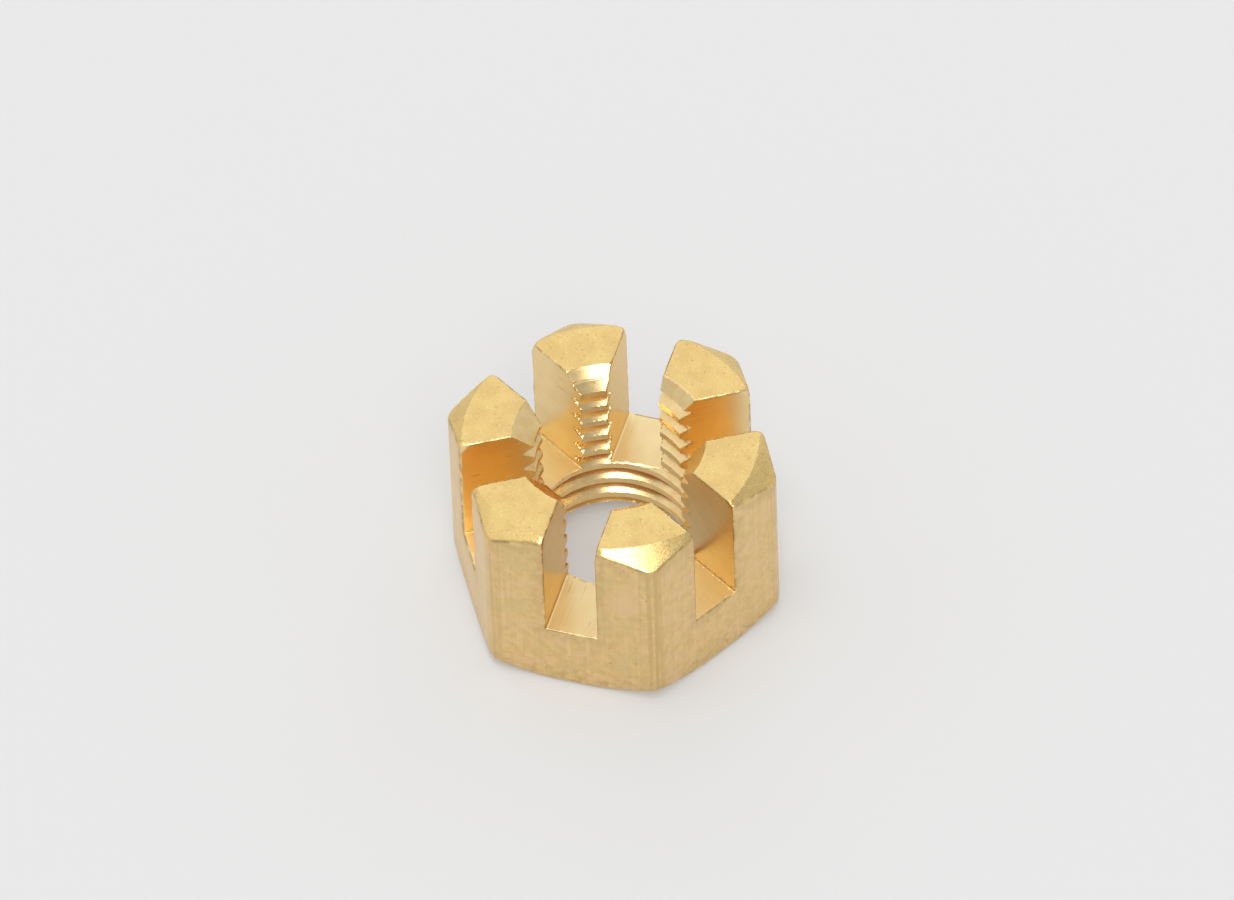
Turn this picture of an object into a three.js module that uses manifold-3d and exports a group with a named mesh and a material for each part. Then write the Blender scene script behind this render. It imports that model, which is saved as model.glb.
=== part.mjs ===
// Slotted hex nut (castle nut without a collar) in brass, thread M10 x 1.25.
// It is one solid of metal: a hex prism with both ends chamfered, a right-hand threaded bore with a
// countersink at each mouth, and six slots in the top that make six prongs, one on each corner.
// Millimetres, +Z up. The origin is the centre of the bearing face, and the slots face up.
// The hex has corners on +X and -X and flats across Y.

import * as THREE from "three";
import { mergeVertices } from "three/addons/utils/BufferGeometryUtils.js";
import Module from "manifold-3d";

// Driving dimensions.
const ACROSS_FLATS = 17.0;
const HEIGHT = 11.75;
const CHAMFER_DIAMETER = 17.0; // circle where the corner chamfer meets each end face
const CHAMFER_ANGLE = 30; // degrees, measured from the end face
const ROOT_DIAMETER = 10.15; // nominal 10, plus the room that a tap leaves past the bolt's crests
const THREAD_PITCH = 1.25;
const CREST_DIAMETER = 8.85; // the hole that was drilled before tapping
const FLANK_ANGLE = 30; // degrees, half of the thread's included angle
const ROOT_FLAT = 0.08; // width of the flat at the roots, as a share of the pitch
const COUNTERSINK_DIAMETER = 11.1;
const COUNTERSINK_ANGLE = 45; // degrees, measured from the end face
const SLOT_WIDTH = 3.05;
const SLOT_FLOOR = 4.35; // height of the slot floors above the bearing face
const SLOT_FILLET = 0.25; // radius where a slot wall meets the floor

// Fineness of the round surfaces.
const CONE_STEPS = 96;
const THREAD_STEPS = 48; // round one turn
const FILLET_STEPS = 3;

// Worked out from the dimensions above.
const HEX_SIDES = 6;
const CORNER_RADIUS = ACROSS_FLATS / 2 / Math.cos(Math.PI / HEX_SIDES);
const PAST_FACE = 2; // how far a cutter runs past the face it opens
const slopeOf = (degrees) => Math.tan(THREE.MathUtils.degToRad(degrees));

const wasm = await Module();
wasm.setup();

// A closed three.js geometry as a solid that can be joined and cut.
function solidOf(geometry) {
  const bare = geometry.clone();
  bare.deleteAttribute("normal");
  bare.deleteAttribute("uv");
  const merged = mergeVertices(bare, 1e-5);
  return new wasm.Manifold(
    new wasm.Mesh({
      numProp: 3,
      vertProperties: new Float32Array(merged.attributes.position.array),
      triVerts: new Uint32Array(merged.index.array),
    }),
  );
}

// A solid as a three.js geometry with flat shading normals.
function geometryOf(solid) {
  const mesh = solid.getMesh();
  const geometry = new THREE.BufferGeometry();
  geometry.setAttribute("position", new THREE.BufferAttribute(mesh.vertProperties, 3));
  geometry.setIndex(new THREE.BufferAttribute(mesh.triVerts, 1));
  const flat = geometry.toNonIndexed();
  flat.computeVertexNormals();
  return flat;
}

// A profile of [radius, height] points, listed upwards and turned round the Z axis.
function turned(profile) {
  const points = profile.map(([radius, height]) => new THREE.Vector2(radius, height));
  return new THREE.LatheGeometry(points, CONE_STEPS).rotateX(Math.PI / 2);
}

// The bar stock: a hex prism as high as the nut.
function hexBar() {
  const bar = new THREE.CylinderGeometry(CORNER_RADIUS, CORNER_RADIUS, HEIGHT, HEX_SIDES);
  return solidOf(
    bar
      .rotateX(Math.PI / 2)
      .rotateZ(Math.PI / 2)
      .translate(0, 0, HEIGHT / 2),
  );
}

// The shape that both chamfers leave: a drum whose ends slope down past the chamfer circle.
function chamferedDrum() {
  const outer = CORNER_RADIUS + PAST_FACE;
  const inner = CHAMFER_DIAMETER / 2;
  const drop = (outer - inner) * slopeOf(CHAMFER_ANGLE);
  return solidOf(
    turned([
      [0, 0],
      [inner, 0],
      [outer, drop],
      [outer, HEIGHT - drop],
      [inner, HEIGHT],
      [0, HEIGHT],
    ]),
  );
}

// The cutter for both countersinks: a cone at each mouth of the bore, joined through its middle.
function countersinks() {
  const mouth = COUNTERSINK_DIAMETER / 2;
  const waist = CREST_DIAMETER / 2;
  const depth = (mouth - waist) * slopeOf(COUNTERSINK_ANGLE);
  const flared = mouth + PAST_FACE / slopeOf(COUNTERSINK_ANGLE);
  return solidOf(
    turned([
      [0, -PAST_FACE],
      [flared, -PAST_FACE],
      [waist, depth],
      [waist, HEIGHT - depth],
      [flared, HEIGHT + PAST_FACE],
      [0, HEIGHT + PAST_FACE],
    ]),
  );
}

// The tap: one turn of the thread's outline, [radius, height above the turn's start], wound up a
// right-hand helix. Each column of points stands at one angle and holds the outline over and over,
// and a full turn later the columns meet again one outline higher. The middle of a crest is level with
// the bearing face on the +X side.
function tap() {
  const root = ROOT_DIAMETER / 2;
  const crest = CREST_DIAMETER / 2;
  const flank = (root - crest) * slopeOf(FLANK_ANGLE);
  const rootFlat = THREAD_PITCH * ROOT_FLAT;
  const crestFlat = THREAD_PITCH - rootFlat - 2 * flank;
  const outline = [
    [crest, 0],
    [crest, crestFlat],
    [root, crestFlat + flank],
    [root, crestFlat + flank + rootFlat],
  ];
  const turnsBelow = Math.ceil(PAST_FACE / THREAD_PITCH) + 1;
  const start = -crestFlat / 2 - THREAD_PITCH * turnsBelow;
  const turns = Math.ceil((HEIGHT + PAST_FACE - start) / THREAD_PITCH);
  const rows = turns * outline.length;
  const positions = [];
  for (let step = 0; step < THREAD_STEPS; step++) {
    const angle = (2 * Math.PI * step) / THREAD_STEPS;
    for (let row = 0; row <= rows + outline.length; row++) {
      const [radius, rise] = outline[row % outline.length];
      const turn = Math.floor(row / outline.length) + step / THREAD_STEPS;
      const height = start + rise + THREAD_PITCH * turn;
      positions.push(radius * Math.cos(angle), radius * Math.sin(angle), height);
    }
  }
  const columnLength = rows + outline.length + 1;
  const point = (step, row) =>
    step < THREAD_STEPS ? step * columnLength + row : row + outline.length;
  const bottom = positions.length / 3;
  const top = bottom + 1;
  positions.push(0, 0, start - THREAD_PITCH);
  positions.push(0, 0, start + THREAD_PITCH * (turns + 2));
  const faces = [];
  for (let step = 0; step < THREAD_STEPS; step++) {
    for (let row = 0; row < rows; row++) {
      const [a, b] = [point(step, row), point(step + 1, row)];
      const [c, d] = [point(step + 1, row + 1), point(step, row + 1)];
      faces.push(a, b, c, a, c, d);
    }
    faces.push(bottom, point(step + 1, 0), point(step, 0));
    faces.push(top, point(step, rows), point(step + 1, rows));
  }
  for (let row = 0; row < outline.length; row++) {
    faces.push(bottom, row, row + 1);
    faces.push(top, rows + row + 1, rows + row);
  }
  const geometry = new THREE.BufferGeometry();
  geometry.setAttribute("position", new THREE.Float32BufferAttribute(positions, 3));
  geometry.setIndex(faces);
  return solidOf(geometry);
}

// The slot cutter: one bar with rounded lower edges that cuts two opposite slots at once.
function slotBar(turn) {
  const half = SLOT_WIDTH / 2;
  const top = HEIGHT + PAST_FACE;
  const outline = new THREE.Shape()
    .moveTo(half, top)
    .lineTo(-half, top)
    .lineTo(-half, SLOT_FLOOR + SLOT_FILLET)
    .absarc(-half + SLOT_FILLET, SLOT_FLOOR + SLOT_FILLET, SLOT_FILLET, Math.PI, 1.5 * Math.PI)
    .lineTo(half - SLOT_FILLET, SLOT_FLOOR)
    .absarc(half - SLOT_FILLET, SLOT_FLOOR + SLOT_FILLET, SLOT_FILLET, 1.5 * Math.PI, 2 * Math.PI)
    .closePath();
  const length = 2 * (CORNER_RADIUS + PAST_FACE);
  const bar = new THREE.ExtrudeGeometry(outline, {
    depth: length,
    bevelEnabled: false,
    curveSegments: FILLET_STEPS,
  });
  return solidOf(
    bar
      .translate(0, 0, -length / 2)
      .rotateX(Math.PI / 2)
      .rotateZ(turn),
  );
}

function slottedNut() {
  let nut = hexBar().intersect(chamferedDrum()).subtract(countersinks()).subtract(tap());
  for (let pair = 0; pair < HEX_SIDES / 2; pair++) {
    nut = nut.subtract(slotBar((2 * Math.PI * pair) / HEX_SIDES));
  }
  return geometryOf(nut);
}

const brass = new THREE.MeshStandardMaterial({
  color: new THREE.Color(0.83, 0.68, 0.36),
  roughness: 0.4,
  metalness: 1.0,
});

const body = new THREE.Mesh(slottedNut(), brass);
body.name = "slotted_nut";

const nutGroup = new THREE.Group();
nutGroup.add(body);

export default nutGroup;
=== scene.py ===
"""Looks for the slotted hex nut: one piece of brass with drawn flats, tumbled ends, sawn slots and a thread.

The nut is a field, the signed distance in millimetres from a point to its surface. The field is meshed on
a regular grid, with each vertex moved to where the faces round it meet, so that edges stay crisp.
"""

import math

import bpy
import numpy as np
from mathutils import Matrix, Vector


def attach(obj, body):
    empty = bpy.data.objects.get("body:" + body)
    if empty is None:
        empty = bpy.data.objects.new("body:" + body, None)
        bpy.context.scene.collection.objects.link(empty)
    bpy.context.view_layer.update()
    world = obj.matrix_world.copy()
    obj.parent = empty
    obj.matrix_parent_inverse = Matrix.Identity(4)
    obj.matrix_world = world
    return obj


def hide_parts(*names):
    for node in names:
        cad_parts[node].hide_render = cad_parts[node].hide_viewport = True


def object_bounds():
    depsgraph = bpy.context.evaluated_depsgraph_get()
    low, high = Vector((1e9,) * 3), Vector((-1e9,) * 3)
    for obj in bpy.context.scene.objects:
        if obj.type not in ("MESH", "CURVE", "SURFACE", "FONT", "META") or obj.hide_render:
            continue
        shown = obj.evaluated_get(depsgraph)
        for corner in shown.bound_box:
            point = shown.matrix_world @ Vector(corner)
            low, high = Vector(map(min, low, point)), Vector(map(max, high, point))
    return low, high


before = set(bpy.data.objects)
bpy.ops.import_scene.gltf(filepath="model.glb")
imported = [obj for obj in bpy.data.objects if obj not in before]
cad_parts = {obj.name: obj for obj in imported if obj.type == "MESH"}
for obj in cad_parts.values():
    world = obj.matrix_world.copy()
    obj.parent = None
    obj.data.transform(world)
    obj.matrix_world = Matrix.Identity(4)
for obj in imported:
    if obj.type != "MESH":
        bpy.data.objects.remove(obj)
CAD_BOX = [list(corner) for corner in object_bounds()]

MM = 0.001
DEG = math.pi / 180
SIDE_TURN = 60 * DEG  # from one side of the hexagon to the next

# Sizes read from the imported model, in millimetres.
HEIGHT = CAD_BOX[1][2] / MM
HALF_FLATS = CAD_BOX[1][1] / MM
CORNER_RADIUS = HALF_FLATS / math.cos(SIDE_TURN / 2)

# Driving dimensions, in millimetres. The chamfers' circles and the slots' fillets differ a little from the
# CAD model's, and the rest are the same.
CHAMFER_RADIUS = 8.43
BASE_CHAMFER_RADIUS = 8.75
CHAMFER_ANGLE = 30 * DEG
SLOT_HALF = 1.525
SLOT_FLOOR = 4.35
SLOT_FILLET = 0.04
PITCH = 1.25
ROOT_RADIUS = 5.075
CREST_RADIUS = 4.425
ROOT_FLAT = 0.08 * PITCH
FLANK_ANGLE = 30 * DEG
SINK_RADIUS = 5.55
SINK_ANGLE = 45 * DEG

# Small errors of making, in millimetres and degrees: the turned features sit off the hexagon's centre.
# Each saw cut is given by its turn and its shift, with the height of the step along one side of its floor.
BORE_CENTRE = (-0.06, 0.31)
CHAMFER_CENTRE = (-0.10, 0.20)
SINK_CENTRE = (-0.17, 0.16)
SLOT_CUTS = ((-30 - 1.3, 0.07, 0), (30 - 0.1, 0.12, 0), (90 + 0.1, 0.07, 0.04))
STEP_WIDTH = 0.45

# Worn and burred edges, in millimetres: the radii of the edges, and the depth worn off the outer corners
# of the prongs.
CORNER_ROUND = 0.50
RIM_ROUND = 0.15
BASE_ROUND = 0.35
ROOT_ROUND = 0.06
WEAR_ROUND = 0.35
PRONG_WEAR = 0.22
WEAR_PATCH = 2.5  # size of the patches that are worn alike
SLOT_EDGE_ROUND = 0.09
BURR_PATCH = 0.35  # size of the lumps along a burred edge
BURR_LEAST = 0.4  # the least radius of a burred edge, as a share of the usual one
BURR_RANGE = 1.2  # and the most that is added to that share
BORE_BURR = 0.3  # how round the edges of the bore are, as a share of the slots' edges

# Meshing.
GRID_STEP = 0.14
GRID_MARGIN = 3  # steps of empty grid round the nut
GRID_SHIFT = 0.37  # part of a step that the grid is moved by, so that no flat face lies on grid points
MIDDLE_PULL = 0.1  # how strongly a vertex is held near the middle of its crossings
INWARD = 0.35  # how far towards a quad's middle its corners are looked up
SAME_FACE = math.cos(25 * DEG)  # normals that differ by more than this belong to different faces
ON_EDGE = math.cos(40 * DEG)  # a quad that differs by more than this from the surface lies across an edge
TINY = 1e-12  # keeps a division by zero from happening
LATTICE = np.random.default_rng(7).random((32, 32, 32))  # the values that smooth_noise runs between


# ---------------------------------------------------------------- the nut's shape


def smooth_noise(points, size):
    """Noise from 0 to 1 at an array of points, with lumps of about the given size."""
    scaled = points / size
    cell = np.floor(scaled).astype(int)
    part = scaled - cell
    part = part * part * (3 - 2 * part)
    total = 0
    for corner in np.ndindex(2, 2, 2):
        spot = tuple(np.moveaxis((cell + corner) % len(LATTICE), -1, 0))
        total = total + LATTICE[spot] * np.prod(np.where(corner, part, 1 - part), axis=-1)
    return total


def both(a, b, radius):
    """Inside a and inside b, with the outer edge between them rounded."""
    corner = np.hypot(np.maximum(a + radius, 0), np.maximum(b + radius, 0))
    return np.minimum(np.maximum(a, b), -radius) + corner


def either(a, b, radius):
    """Inside a or inside b, with the inner edge between them filleted."""
    return -both(-a, -b, radius)


def ends(z):
    """Distance outside the top face, then outside the bearing face."""
    return z - HEIGHT, -z


def flat_fields(x, y):
    """Distance outside the nearest flat, and outside its neighbour across the nearest corner."""
    radius = np.hypot(x, y)
    half_turn = SIDE_TURN / 2
    from_corner = (np.arctan2(y, x) + half_turn) % SIDE_TURN - half_turn
    return [radius * np.cos(from_corner + side * half_turn) - HALF_FLATS for side in (-1, 1)]


def ends_field(x, y, z):
    """All that turning both ends leaves: the end faces and their corner chamfers."""
    radius = np.hypot(x - CHAMFER_CENTRE[0], y - CHAMFER_CENTRE[1])
    slope, rise = math.sin(CHAMFER_ANGLE), math.cos(CHAMFER_ANGLE)
    solid = np.full_like(x, -np.inf)
    for end, chamfer_radius in zip(ends(z), (CHAMFER_RADIUS, BASE_CHAMFER_RADIUS)):
        cone = (radius - chamfer_radius) * slope + end * rise
        solid = np.maximum(solid, np.maximum(end, cone))
    return solid


def slot_field(x, y, z):
    """All that the three saw cuts leave: below their floors, or beside them."""
    solid = np.full_like(x, -np.inf)
    for turn, shift, step in SLOT_CUTS:
        across = y * math.cos(turn * DEG) - x * math.sin(turn * DEG) - shift
        floor = SLOT_FLOOR + step * (across < STEP_WIDTH - SLOT_HALF)
        solid = np.maximum(solid, either(SLOT_HALF - np.abs(across), z - floor, SLOT_FILLET))
    return solid


def bore_field(x, y, z):
    """All that the threaded bore and its two countersinks leave."""
    sink = np.hypot(x - SINK_CENTRE[0], y - SINK_CENTRE[1])
    x, y = x - BORE_CENTRE[0], y - BORE_CENTRE[1]
    radius = np.hypot(x, y)
    turn = z / PITCH - np.arctan2(y, x) / (2 * math.pi)
    from_crest = np.abs((turn + 0.5) % 1 - 0.5) * PITCH
    flank_run = (ROOT_RADIUS - CREST_RADIUS) * math.tan(FLANK_ANGLE)
    crest_half = (PITCH - ROOT_FLAT) / 2 - flank_run
    flank = (from_crest - crest_half) * math.cos(FLANK_ANGLE)
    flank = flank - (radius - CREST_RADIUS) * math.sin(FLANK_ANGLE)
    tooth = np.maximum(CREST_RADIUS - radius, flank)
    solid = either(tooth, ROOT_RADIUS - radius, ROOT_ROUND)
    slope, rise = math.sin(SINK_ANGLE), math.cos(SINK_ANGLE)
    for end in ends(z):
        cone = end * rise - (sink - SINK_RADIUS) * slope
        solid = np.maximum(solid, cone)
    return solid


def fields(points):
    """The flats, ends, slots and bore at an array of points: the nut is what lies inside all four."""
    x, y, z = points[..., 0], points[..., 1], points[..., 2]
    flats = both(*flat_fields(x, y), CORNER_ROUND)
    return flats, ends_field(x, y, z), slot_field(x, y, z), bore_field(x, y, z)


def wear(points):
    """The radius of a burred edge, and the depth worn off the prongs' corners, at each point."""
    burr = SLOT_EDGE_ROUND * (BURR_LEAST + BURR_RANGE * smooth_noise(points, BURR_PATCH))
    return burr, PRONG_WEAR * smooth_noise(points, WEAR_PATCH)


def nut_field(points, burr, worn_off):
    """The whole nut at an array of points, with its edges rounded and worn as wear says."""
    flats, turned, slots, bore = fields(points)
    rim = np.where(points[..., 2] < HEIGHT / 2, BASE_ROUND, RIM_ROUND)
    solid = both(both(flats, turned, rim), slots, burr)
    prong_corner = (flats + slots + points[..., 2] - HEIGHT) / math.sqrt(3) + worn_off
    return both(both(solid, prong_corner, WEAR_ROUND), bore, BORE_BURR * burr)


def field_and_slope(points, reach=1e-3):
    """The field and its unit slope, the surface's normal, at a list of points: reach is in millimetres."""
    worn = wear(points)
    slopes = np.empty_like(points)
    for axis in range(3):
        shift = np.zeros(3)
        shift[axis] = reach
        slopes[:, axis] = nut_field(points + shift, *worn) - nut_field(points - shift, *worn)
    steepness = np.linalg.norm(slopes, axis=1, keepdims=True)
    return nut_field(points, *worn), slopes / np.maximum(steepness, TINY)


# ---------------------------------------------------------------- the mesh of the field


def grid_field(low, counts, step):
    """The field on a grid, layer by layer so that little memory is used."""
    x = low[0] + step * np.arange(counts[0])
    y = low[1] + step * np.arange(counts[1])
    plane = np.stack(np.meshgrid(x, y, indexing="ij"), -1)
    values = np.empty(counts)
    for layer in range(counts[2]):
        height = np.full((*plane.shape[:2], 1), low[2] + step * layer)
        points = np.concatenate([plane, height], -1)
        values[:, :, layer] = nut_field(points, *wear(points))
    return values


def crossings(values, low, step):
    """For each axis: the grid edges along it that the surface crosses, and the crossing points."""
    for axis in range(3):
        ahead = np.moveaxis(values, axis, 0)[1:]
        behind = np.moveaxis(values, axis, 0)[:-1]
        start = np.argwhere((ahead < 0) != (behind < 0))
        first, second = behind[tuple(start.T)], ahead[tuple(start.T)]
        start = np.insert(start[:, 1:], axis, start[:, 0], axis=1)
        points = low + step * start
        points[:, axis] += step * first / (first - second)
        yield axis, start, points, first < 0


def cells_round(axis, start, cells):
    """The four grid cells round each grid edge, in order round it, as one number each."""
    one, two = [other for other in range(3) if other != axis]
    ring = []
    for along_one, along_two in ((0, 0), (-1, 0), (-1, -1), (0, -1)):
        cell = start.copy()
        cell[:, one] += along_one
        cell[:, two] += along_two
        ring.append(np.ravel_multi_index(tuple(cell.T), tuple(cells)))
    return np.stack(ring, 1)


def meeting_points(points, normals, owner, count, step):
    """For each cell, the point nearest to the planes through its crossings, so on an edge if it has one."""

    def total(amount):
        return np.bincount(owner, amount, count)

    share = total(np.ones(len(owner)))
    middle = np.stack([total(points[:, axis]) for axis in range(3)], 1) / share[:, None]
    away = np.einsum("ij,ij->i", normals, points - middle[owner])
    square = np.empty((count, 3, 3))
    pull = np.empty((count, 3))
    for row in range(3):
        pull[:, row] = total(normals[:, row] * away)
        for column in range(3):
            square[:, row, column] = total(normals[:, row] * normals[:, column])
    square += MIDDLE_PULL * np.eye(3)
    moved = np.linalg.solve(square, pull[..., None])[..., 0]
    return middle + np.clip(moved, -step, step)


def settle(points, rounds=3):
    """Moves points on to the surface."""
    for _ in range(rounds):
        distance, slope = field_and_slope(points)
        points = points - distance[:, None] * slope
    return points


def dual_mesh(step):
    """Vertices and quads of the nut's surface, by dual contouring."""
    margin = GRID_MARGIN * step
    low = np.array([-CORNER_RADIUS, -HALF_FLATS, 0]) - margin + step * GRID_SHIFT
    high = np.array([CORNER_RADIUS, HALF_FLATS, HEIGHT]) + margin
    counts = np.ceil((high - low) / step).astype(int) + 1
    found = list(crossings(grid_field(low, counts, step), low, step))
    rings = np.concatenate([cells_round(axis, start, counts - 1) for axis, start, _, _ in found])
    used, quads = np.unique(rings, return_inverse=True)
    quads = quads.reshape(-1, 4)
    points = np.concatenate([points for _, _, points, _ in found])
    _, normals = field_and_slope(points)
    vertices = meeting_points(
        np.repeat(points, 4, axis=0), np.repeat(normals, 4, axis=0), quads.ravel(), len(used), step
    )
    # A ring faces along its grid edge, or against it for edges along Y, and each quad has to face outwards.
    turned = np.concatenate([inside == (axis == 1) for axis, _, _, inside in found])
    quads[turned] = quads[turned, ::-1]
    return settle(vertices), quads


def quad_normals(vertices, quads):
    """The unit normal of each quad as it lies."""
    a, b, c, d = np.moveaxis(vertices[quads], 1, 0)
    across = np.cross(c - a, d - b)
    return across / np.maximum(np.linalg.norm(across, axis=1, keepdims=True), TINY)


def corner_normals(vertices, quads):
    """A normal for each corner of each quad: shared over a smooth face, and split along a sharp edge."""
    _, slopes = field_and_slope(vertices)
    normals = slopes[quads]
    agreement = np.einsum("qia,qja->qij", normals, normals).min(axis=(1, 2))
    bent = agreement < SAME_FACE
    corners = vertices[quads[bent]]
    inward = corners * (1 - INWARD) + corners.mean(axis=1, keepdims=True) * INWARD
    _, own = field_and_slope(settle(inward.reshape(-1, 3), rounds=2))
    own = own.reshape(-1, 4, 3)
    whole = quad_normals(vertices, quads[bent])[:, None]
    own = np.where((own * whole).sum(axis=-1, keepdims=True) > ON_EDGE, own, whole)
    same = np.einsum("qia,qia->qi", normals[bent], own) > SAME_FACE
    normals[bent] = np.where(same[..., None], normals[bent], own)
    return normals.reshape(-1, 3)


# ---------------------------------------------------------------- the nut as an object

FLAT_SPACING = 20  # millimetres that set the tool marks of one flat apart from those of the next


def tool_marks(points, surface):
    """Millimetres along and across the lines that the tools left, for points on the given surfaces."""
    x, y, z = points.T
    radius, angle = np.hypot(x, y), np.arctan2(y, x)
    flat = np.floor(angle / SIDE_TURN)
    from_flat = angle - (flat + 0.5) * SIDE_TURN
    across_flat = radius * np.sin(from_flat) + FLAT_SPACING * flat
    above_helix = z - PITCH * angle / (2 * math.pi)
    on_flats = np.stack([z, across_flat, flat], 1)
    in_slots = np.stack([radius * np.cos(from_flat), z + across_flat, flat], 1)
    in_bore = np.stack([ROOT_RADIUS * angle, above_helix + radius, np.zeros_like(z)], 1)
    return np.choose(surface[:, None], [on_flats, points, in_slots, in_bore])


def edge_gaps(points):
    """Distance from each point outside the bore to the nearest edge of the bar, its ends and its slots."""
    x, y, z = points.T
    outside = [np.maximum(*flat_fields(x, y)), ends_field(x, y, z), slot_field(x, y, z)]
    return -np.sort(outside, axis=0)[-2]


def link(obj):
    bpy.context.collection.objects.link(obj)
    return obj


def nut_object(materials):
    """The nut's mesh, with a material for each of the four fields: flats, ends, slots and bore."""
    vertices, quads = dual_mesh(GRID_STEP)
    mesh = bpy.data.meshes.new("slotted_nut_metal")
    mesh.from_pydata((vertices * MM).tolist(), [], quads.tolist())
    for material in materials:
        mesh.materials.append(material)
    middles = settle(vertices[quads].mean(axis=1), rounds=1)
    surface = np.argmax(np.stack(fields(middles)), axis=0)
    mesh.polygons.foreach_set("material_index", surface.astype(np.int32))
    corners = vertices[quads].reshape(-1, 3)
    marks = mesh.attributes.new("tool_marks", "FLOAT_VECTOR", "CORNER")
    marks.data.foreach_set("vector", tool_marks(corners, np.repeat(surface, 4)).ravel())
    gaps = mesh.attributes.new("edge_gap", "FLOAT", "POINT")
    gaps.data.foreach_set("value", edge_gaps(vertices))
    mesh.shade_smooth()
    mesh.normals_split_custom_set(corner_normals(vertices, quads).tolist())
    return link(bpy.data.objects.new("slotted_nut_metal", mesh))


# ---------------------------------------------------------------- materials

# A darker colour laid in broken lines along every edge, the hollow ones too.
EDGE_DARK = (0.30, 0.20, 0.09, 1)
CUT_EDGE_TINT = (0.95, 0.81, 0.65, 1)  # what freshly cut brass reflects when seen almost edge on

# The flats.
DRAWN_GOLD = (0.85, 0.61, 0.27, 1)
DRAWN_DULL = (0.77, 0.54, 0.23, 1)
DRAWN_PINK = (0.87, 0.60, 0.33, 1)
DRAWN_OLIVE = (0.74, 0.56, 0.26, 1)
DRAWN_LINE = (0.66, 0.45, 0.19, 1)
# Painted sheen: a lighter colour along some of the drawing lines.
DRAWN_LINE_SHEEN = (0.94, 0.78, 0.50, 1)
CORNER_STREAK = (0.62, 0.42, 0.17, 1)
SPECK = (0.36, 0.25, 0.13, 1)
# A darker colour in blotches towards the bottom of the flats.
LOW_DARKENING = (0.46, 0.31, 0.14, 1)
# Painted shade: a darker band along the rims of the flats.
RIM_SHADE = (0.58, 0.40, 0.17, 1)

# The ends.
TUMBLED_GOLD = (0.87, 0.635, 0.25, 1)
TUMBLED_DULL = (0.79, 0.56, 0.22, 1)
PIT = (0.56, 0.38, 0.14, 1)
# Painted glints: sparse near-white specks in the colour of the ends.
PAINTED_GLINT = (1.0, 0.88, 0.55, 1)

# The slots.
SAWN_GOLD = (0.92, 0.735, 0.40, 1)
SAWN_DULL = (0.88, 0.69, 0.37, 1)
SAW_LINE = (0.72, 0.50, 0.22, 1)
SCRATCH = (0.45, 0.30, 0.12, 1)

# The thread and countersinks.
THREAD_GOLD = (0.91, 0.70, 0.35, 1)
THREAD_DULL = (0.86, 0.62, 0.29, 1)

# Sizes in millimetres, apart from the first, which is a share of the next four.
EDGE_DARK_CORE = 0.3  # where a darker line along an edge is at its strongest
EDGE_DARK_ON_FLATS = 0.12
EDGE_DARK_ON_ENDS = 0.13
EDGE_DARK_IN_SLOTS = 0.15
RIM_SHADE_WIDTH = 1.0
TINTS_SHIFT = (31, 17, 5)  # moves the tints away from the patches, so that they don't follow them
LOW_DARK_HEIGHTS = (2.2, 0.2)  # where the darker blotches low on the flats begin, and where they are strongest
STREAK_BAND = (3.9, 4.7)  # the same for the streaks beside the bar's corners, from the flat's middle line


class Nodes:
    """A short way to write the nodes of a material or world: each call adds one and gives an output."""

    def __init__(self, owner):
        self.tree = owner.node_tree

    def add(self, kind, settings=(), output=0, **inputs):
        """Inputs go by name, with _ for a space, or by number as _0, _1 and so on where names repeat."""
        node = self.tree.nodes.new("ShaderNode" + kind)
        for name, value in dict(settings).items():
            setattr(node, name, value)
        for name, value in inputs.items():
            socket = node.inputs[int(name[1:])] if name[0] == "_" else node.inputs[name.replace("_", " ")]
            if isinstance(value, bpy.types.NodeSocket):
                self.tree.links.new(value, socket)
            else:
                socket.default_value = value
        return node.outputs[output]

    def noise(self, place, size, detail=2.0):
        """Noise round 0.5 with lumps of about the given size in millimetres."""
        return self.add("TexNoise", Vector=place, Scale=1 / size, Detail=detail)

    def ramp(self, value, low, high, to_low=0.0, to_high=1.0):
        """A straight ramp from to_low, where value is low, to to_high, where it is high."""
        return self.add(
            "MapRange", Value=value, From_Min=low, From_Max=high, To_Min=to_low, To_Max=to_high
        )

    def math(self, operation, *values):
        """A sum or product, or another function of as many values as it takes."""
        numbered = {f"_{slot}": value for slot, value in enumerate(values)}
        return self.add("Math", {"operation": operation}, **numbered)

    def part(self, vector, axis):
        """The X, Y or Z of a vector."""
        return self.add("SeparateXYZ", output=axis, Vector=vector)

    def blend(self, amount, first, second):
        """Colour first where amount is 0, second where it is 1."""
        return self.add("Mix", {"data_type": "RGBA"}, output=2, _0=amount, _6=first, _7=second)


def metal(name):
    """A bare metal material: itself, its nodes, its shader, and the place and tool marks in millimetres."""
    material = bpy.data.materials.new(name)
    material.use_nodes = True
    shader = material.node_tree.nodes["Principled BSDF"]
    shader.inputs["Metallic"].default_value = 1
    nodes = Nodes(material)
    coordinates = nodes.add("TexCoord", output="Object")
    place = nodes.add("VectorMath", {"operation": "SCALE"}, Vector=coordinates, Scale=1 / MM)
    marks = nodes.add("Attribute", {"attribute_name": "tool_marks"}, output="Vector")
    return material, nodes, shader, place, marks


def stretched(nodes, marks, along):
    """The tool marks' coordinates, squeezed so that noise is drawn out that many times along the lines."""
    return nodes.add("VectorMath", {"operation": "MULTIPLY"}, _0=marks, _1=(1 / along, 1, 1))


def finish_metal(nodes, shader, color, roughness, relief, depth):
    """Connects the shader: relief is a height from 0 to 1, and depth its size in millimetres."""
    tree = nodes.tree
    tree.links.new(color, shader.inputs["Base Color"])
    tree.links.new(roughness, shader.inputs["Roughness"])
    normal = nodes.add("Bump", Height=relief, Distance=depth * MM, Strength=1.0)
    tree.links.new(normal, shader.inputs["Normal"])


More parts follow.
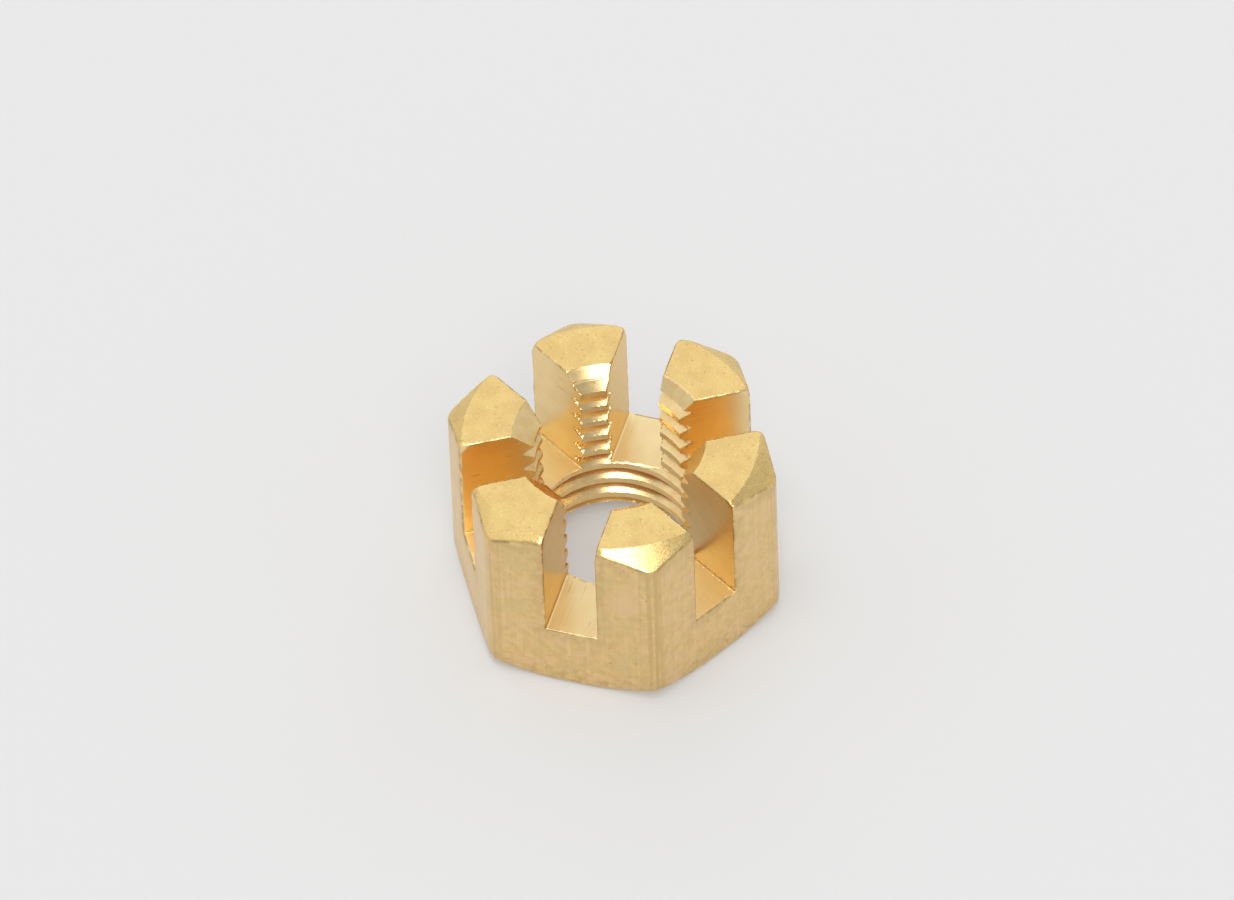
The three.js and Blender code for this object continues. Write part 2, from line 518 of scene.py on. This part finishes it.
def edge_darkening(nodes, place, width, amount):
    """Broken darker lines along the edges, from 0 to the given amount."""
    gap = nodes.add("Attribute", {"attribute_name": "edge_gap"}, output="Fac")
    # darkens the colour in broken lines along the edges
    line = nodes.ramp(gap, width, EDGE_DARK_CORE * width, 0, amount)
    return nodes.math("MULTIPLY", line, nodes.ramp(nodes.noise(place, 0.7, 2), 0.38, 0.54))


def by_corner(nodes, marks):
    """From 0 over the middle of each flat to 1 beside the bar's corners."""
    to_flat = nodes.math("MULTIPLY", nodes.part(marks, "Z"), FLAT_SPACING)
    from_middle = nodes.math("SUBTRACT", nodes.part(marks, "Y"), to_flat)
    return nodes.ramp(nodes.math("ABSOLUTE", from_middle), *STREAK_BAND)


def drawn_brass():
    """The flats: the skin of the drawn bar, dulled by tumbling, with blotches darker low down, painted shade
    along the rims, and faint upright lines, some with a painted sheen.
    """
    material, nodes, shader, place, marks = metal("brass_drawn")
    grain = nodes.noise(place, 0.07, 3)
    patches = nodes.noise(place, 0.5, 5)
    elsewhere = nodes.add("VectorMath", {"operation": "ADD"}, _0=place, _1=TINTS_SHIFT)
    tints = nodes.noise(elsewhere, 1.5, 4)
    lines = nodes.noise(stretched(nodes, marks, 40), 0.20, 3)
    streaks = nodes.ramp(nodes.noise(stretched(nodes, marks, 60), 0.30, 2), 0.42, 0.58, 0, 0.6)
    specks = nodes.ramp(nodes.noise(place, 0.22, 1), 0.73, 0.80, 0, 0.7)
    color = nodes.blend(nodes.ramp(patches, 0.40, 0.60), DRAWN_GOLD, DRAWN_DULL)
    color = nodes.blend(nodes.ramp(tints, 0.48, 0.68, 0, 0.7), color, DRAWN_PINK)
    color = nodes.blend(nodes.ramp(tints, 0.46, 0.34, 0, 0.6), color, DRAWN_OLIVE)
    color = nodes.blend(nodes.ramp(lines, 0.54, 0.74, 0, 0.32), color, DRAWN_LINE)
    # painted sheen along some of the drawing lines
    color = nodes.blend(nodes.ramp(lines, 0.42, 0.28, 0, 0.20), color, DRAWN_LINE_SHEEN)
    color = nodes.blend(nodes.math("MULTIPLY", by_corner(nodes, marks), streaks), color, CORNER_STREAK)
    color = nodes.blend(specks, color, SPECK)
    # darker blotches towards the bottom of the flats
    low = nodes.ramp(nodes.part(place, "Z"), *LOW_DARK_HEIGHTS, 0, 0.55)
    low_blotches = nodes.math("MULTIPLY", low, nodes.ramp(nodes.noise(place, 0.45, 5), 0.50, 0.64))
    color = nodes.blend(low_blotches, color, LOW_DARKENING)
    # painted shade in a band along the flats' rims
    color = nodes.blend(edge_darkening(nodes, place, RIM_SHADE_WIDTH, 0.35), color, RIM_SHADE)
    color = nodes.blend(edge_darkening(nodes, place, EDGE_DARK_ON_FLATS, 0.5), color, EDGE_DARK)
    roughness = nodes.ramp(grain, 0.3, 0.7, 0.30, 0.46)
    shader.inputs["Coat Weight"].default_value = 0.3
    shader.inputs["Coat Roughness"].default_value = 0.4
    relief = nodes.math("ADD", grain, nodes.math("MULTIPLY", lines, 0.4))
    finish_metal(nodes, shader, color, roughness, relief, depth=0.006)
    return material


def tumbled_brass():
    """The turned ends: matt gold, finely pitted all over, with dirt in some pits and painted glints on
    others.
    """
    material, nodes, shader, place, _ = metal("brass_tumbled")
    grain = nodes.noise(place, 0.08, 3)
    patches = nodes.noise(place, 1.1, 4)
    pits = nodes.ramp(nodes.noise(place, 0.20, 2), 0.62, 0.74, 0, 0.7)
    # painted glints: near-white specks in the colour
    painted_glints = nodes.ramp(nodes.noise(place, 0.11, 1), 0.66, 0.76, 0, 0.9)
    color = nodes.blend(nodes.ramp(patches, 0.38, 0.62), TUMBLED_GOLD, TUMBLED_DULL)
    color = nodes.blend(pits, color, PIT)
    color = nodes.blend(painted_glints, color, PAINTED_GLINT)
    color = nodes.blend(edge_darkening(nodes, place, EDGE_DARK_ON_ENDS, 0.8), color, EDGE_DARK)
    roughness = nodes.ramp(grain, 0.3, 0.7, 0.22, 0.36)
    finish_metal(nodes, shader, color, roughness, grain, depth=0.004)
    return material


def sawn_brass():
    """The slots: smooth walls and duller floors, with fine lines along each cut and a few scratches."""
    material, nodes, shader, place, marks = metal("brass_sawn")
    lines = nodes.noise(stretched(nodes, marks, 60), 0.12, 3)
    clouds = nodes.noise(place, 1.2, 3)
    scratches = nodes.ramp(nodes.noise(stretched(nodes, marks, 14), 0.12, 0), 0.80, 0.84)
    color = nodes.blend(nodes.ramp(clouds, 0.35, 0.65), SAWN_GOLD, SAWN_DULL)
    color = nodes.blend(nodes.ramp(lines, 0.54, 0.68, 0, 0.28), color, SAW_LINE)
    color = nodes.blend(nodes.math("MULTIPLY", scratches, 0.6), color, SCRATCH)
    color = nodes.blend(edge_darkening(nodes, place, EDGE_DARK_IN_SLOTS, 0.7), color, EDGE_DARK)
    facing_up = nodes.part(nodes.add("NewGeometry", output="Normal"), "Z")
    roughness = nodes.ramp(facing_up, 0.3, 0.9, 0.28, 0.38)
    shader.inputs["Specular Tint"].default_value = CUT_EDGE_TINT
    finish_metal(nodes, shader, color, roughness, lines, depth=0.0005)
    return material


def threaded_brass():
    """The thread and countersinks: cut bright, then dulled a little by the tumbling."""
    material, nodes, shader, place, marks = metal("brass_threaded")
    grain = nodes.noise(place, 0.07, 2)
    lines = nodes.noise(stretched(nodes, marks, 30), 0.08, 2)
    clouds = nodes.noise(place, 0.6, 3)
    color = nodes.blend(nodes.ramp(clouds, 0.38, 0.62), THREAD_GOLD, THREAD_DULL)
    roughness = nodes.ramp(grain, 0.3, 0.7, 0.18, 0.26)
    shader.inputs["Specular Tint"].default_value = CUT_EDGE_TINT
    finish_metal(nodes, shader, color, roughness, nodes.math("ADD", grain, lines), depth=0.0015)
    return material


nut = nut_object([drawn_brass(), tumbled_brass(), sawn_brass(), threaded_brass()])
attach(nut, "root")
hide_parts("slotted_nut")


# ---------------------------------------------------------------- floor, light and camera

WHITE = (1, 1, 1, 1)

# The camera: distances in metres, the lens in millimetres.
CAMERA_AZIMUTH = 18.08 * DEG
CAMERA_ELEVATION = 48.58 * DEG
CAMERA_ROLL = -2.24 * DEG
CAMERA_DISTANCE = 0.850
CAMERA_AIM = Vector((-2.68, 9.17, 0)) * MM
NEAREST_SEEN = 0.01
LENS = 430.5
SENSOR = 36

# The floor: white paper, which also glows a little so that the part's own shadow stays pale.
FLOOR_HALF = 4.0
FLOOR_TOP = -0.02 * MM
PAPER = (0.455, 0.455, 0.455, 1)
PAPER_ROUGHNESS = 0.8
PAPER_GLOW = 0.225

# The tent round the part: how bright its foot, wall and roof are, and the elevations between them.
TENT_FOOT = 0.74
TENT_WALL = 0.56
TENT_ROOF = 0.30
FOOT_FADES = (38 * DEG, 20 * DEG)
ROOF_FADES = (58 * DEG, 66 * DEG)

# Each light's name, degrees round from the camera, elevation and width in degrees, and radiance.
LIGHTS = (
    ("softbox", 8, 51, 25, 5.5),
    ("softbox_top", 0, 70, 13, 11.0),
    ("overhead", -60, 82, 26, 4.2),
    ("side", -95, 48, 40, 0.4),
    ("backdrop", 180, 52, 80, 0.46),
)
GLOSSY_BOUNCES = 12  # light reaches deep into the thread and slots


def direction(azimuth, elevation):
    """Unit vector towards a camera or light: azimuth 0 is the -Y side, and elevation is above the floor."""
    level = math.cos(elevation)
    return Vector((math.sin(azimuth) * level, -math.cos(azimuth) * level, math.sin(elevation)))


def add_floor():
    """A square of paper just under the part."""
    mesh = bpy.data.meshes.new("floor")
    corners = [(x * FLOOR_HALF, y * FLOOR_HALF, FLOOR_TOP) for x, y in ((-1, -1), (1, -1), (1, 1), (-1, 1))]
    mesh.from_pydata(corners, [], [(0, 1, 2, 3)])
    paper = bpy.data.materials.new("white_paper")
    paper.use_nodes = True
    shader = paper.node_tree.nodes["Principled BSDF"]
    shader.inputs["Base Color"].default_value = PAPER
    shader.inputs["Roughness"].default_value = PAPER_ROUGHNESS
    shader.inputs["Emission Color"].default_value = WHITE
    shader.inputs["Emission Strength"].default_value = PAPER_GLOW
    mesh.materials.append(paper)
    link(bpy.data.objects.new("floor", mesh))


def add_light(name, azimuth, elevation, width, radiance):
    """A round patch of light far away: width is its angle across, radiance how bright it looks."""
    sun = bpy.data.lights.new(name, "SUN")
    sun.angle = width
    sun.energy = radiance * math.pi * math.sin(width / 2) ** 2
    lamp = link(bpy.data.objects.new(name, sun))
    lamp.rotation_euler = direction(azimuth, elevation).to_track_quat("Z", "Y").to_euler()


def add_camera():
    """The camera, aimed at a point on the floor and rolled a little."""
    back = direction(CAMERA_AZIMUTH, CAMERA_ELEVATION)
    right = Vector((0, 0, 1)).cross(back).normalized()
    up = back.cross(right)
    tilted_right = right * math.cos(CAMERA_ROLL) + up * math.sin(CAMERA_ROLL)
    tilted_up = up * math.cos(CAMERA_ROLL) - right * math.sin(CAMERA_ROLL)
    camera = bpy.data.cameras.new("camera")
    camera.sensor_width = SENSOR
    camera.lens = LENS
    camera.clip_start = NEAREST_SEEN
    obj = link(bpy.data.objects.new("camera", camera))
    turn = Matrix((tilted_right, tilted_up, back)).transposed().to_4x4()
    obj.matrix_world = Matrix.Translation(CAMERA_AIM + back * CAMERA_DISTANCE) @ turn
    bpy.context.scene.camera = obj


def add_world():
    """A white tent round the part, brighter round its foot and darker in its roof."""
    world = bpy.data.worlds.new("studio")
    world.use_nodes = True
    nodes = Nodes(world)
    up = nodes.part(nodes.add("TexCoord", output="Generated"), "Z")
    wall = nodes.ramp(up, *map(math.sin, ROOF_FADES), TENT_WALL, TENT_ROOF)
    foot = nodes.ramp(up, *map(math.sin, FOOT_FADES), 0, TENT_FOOT - TENT_WALL)
    background = world.node_tree.nodes["Background"]
    background.inputs["Color"].default_value = WHITE
    world.node_tree.links.new(nodes.math("ADD", wall, foot), background.inputs["Strength"])
    bpy.context.scene.world = world


add_floor()
for name, round_camera, elevation, width, radiance in LIGHTS:
    add_light(name, CAMERA_AZIMUTH + round_camera * DEG, elevation * DEG, width * DEG, radiance)
add_world()
add_camera()
bpy.context.scene.view_settings.view_transform = "Standard"
bpy.context.scene.cycles.glossy_bounces = GLOSSY_BOUNCES
